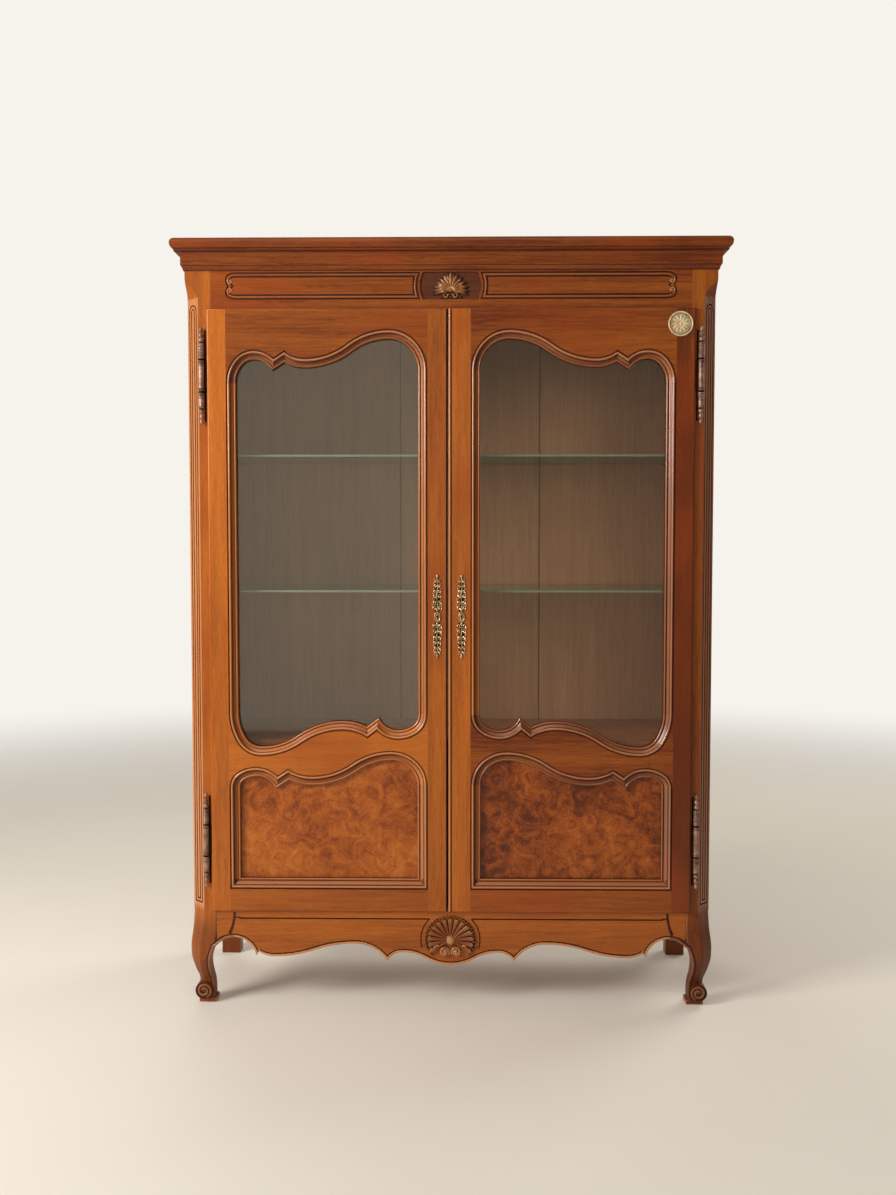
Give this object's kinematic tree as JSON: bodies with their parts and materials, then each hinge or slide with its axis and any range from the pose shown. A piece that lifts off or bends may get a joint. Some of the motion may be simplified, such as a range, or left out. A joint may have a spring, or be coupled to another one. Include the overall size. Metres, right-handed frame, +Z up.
{
  "type": "bookcase with glazed doors",
  "caption": "Tall wooden bookcase on scrolled cabriole legs: shaped glazed doors over burr panels, carved shells, moulded cornice, glass shelves, lock and bolts.",
  "frame": {"origin": "on the floor, at the middle of the overall width and depth", "axes": "+Z is up, -Y is the front with the doors, +X is to the right as seen from the front"},
  "size_m": [1.432, 0.478, 2],
  "materials": {
    "carcass_wood": "satin",
    "carved_wood": "satin",
    "door_wood": "satin",
    "burr_veneer": "gloss",
    "inner_wood": "matte",
    "clear_glass": "polished",
    "aged_brass": "aged",
    "dark_iron": "aged",
    "bright_steel": "satin"
  },
  "bodies": {
    "carcass": {"front_post_left": "carcass_wood", "front_post_right": "carcass_wood", "rear_post_left": "carcass_wood", "rear_post_right": "carcass_wood", "frieze_rail": "carcass_wood", "apron_rail": "carcass_wood", "side_top_rail_left": "carcass_wood", "side_top_rail_right": "carcass_wood", "side_bottom_rail_left": "carcass_wood", "side_bottom_rail_right": "carcass_wood", "side_panel_left": "carcass_wood", "side_panel_right": "carcass_wood", "cornice_front": "carcass_wood", "cornice_left": "carcass_wood", "cornice_right": "carcass_wood", "cornice_back": "carcass_wood", "ceiling_board": "carcass_wood", "frieze_shell": "carved_wood", "apron_shell": "carved_wood", "back_top_rail": "inner_wood", "back_bottom_rail": "inner_wood", "back_board_left": "inner_wood", "back_board_centre": "inner_wood", "back_board_right": "inner_wood", "floor_board": "inner_wood", "wood_shelf": "inner_wood", "glass_shelf_upper": "clear_glass", "glass_shelf_lower": "clear_glass", "shelf_pins": "aged_brass", "hinge_post_leaves_left": "dark_iron", "hinge_post_leaves_right": "dark_iron", "hinge_pins": "dark_iron"},
    "left_door": {"left_door_hinge_stile": "door_wood", "left_door_meeting_stile": "door_wood", "left_door_top_rail": "door_wood", "left_door_middle_rail": "door_wood", "left_door_bottom_rail": "door_wood", "left_door_beads": "door_wood", "left_door_burr_panel": "burr_veneer", "left_door_glass": "clear_glass", "left_door_escutcheon": "aged_brass", "left_door_hinge_leaves": "dark_iron", "strike_box": "aged_brass", "sliding_bolt_plates": "bright_steel"},
    "right_door": {"right_door_hinge_stile": "door_wood", "right_door_meeting_stile": "door_wood", "right_door_top_rail": "door_wood", "right_door_middle_rail": "door_wood", "right_door_bottom_rail": "door_wood", "right_door_beads": "door_wood", "right_door_burr_panel": "burr_veneer", "right_door_glass": "clear_glass", "right_door_escutcheon": "aged_brass", "right_door_hinge_leaves": "dark_iron", "lock_case": "aged_brass", "door_badge": "aged_brass"},
    "lock_bolt": {"lock_bolt": "bright_steel"},
    "top_bolt": {"top_bolt": "bright_steel"},
    "bottom_bolt": {"bottom_bolt": "bright_steel"}
  },
  "joints": [
    {"name": "left_door_hinge", "type": "hinge", "parent": "carcass", "child": "left_door", "pos_m": [-0.6415, -0.2155, 1.0465], "axis": [0, 0, -1], "range_deg": [0, 170]},
    {"name": "right_door_hinge", "type": "hinge", "parent": "carcass", "child": "right_door", "pos_m": [0.6415, -0.2155, 1.0465], "axis": [0, 0, 1], "range_deg": [0, 170]},
    {"name": "lock_bolt_slide", "type": "slide", "parent": "right_door", "child": "lock_bolt", "axis": [-1, 0, 0], "range_m": [0, 0.014]},
    {"name": "top_bolt_slide", "type": "slide", "parent": "left_door", "child": "top_bolt", "axis": [0, 0, 1], "range_m": [0, 0.012]},
    {"name": "bottom_bolt_slide", "type": "slide", "parent": "left_door", "child": "bottom_bolt", "axis": [0, 0, -1], "range_m": [0, 0.012]}
  ]
}
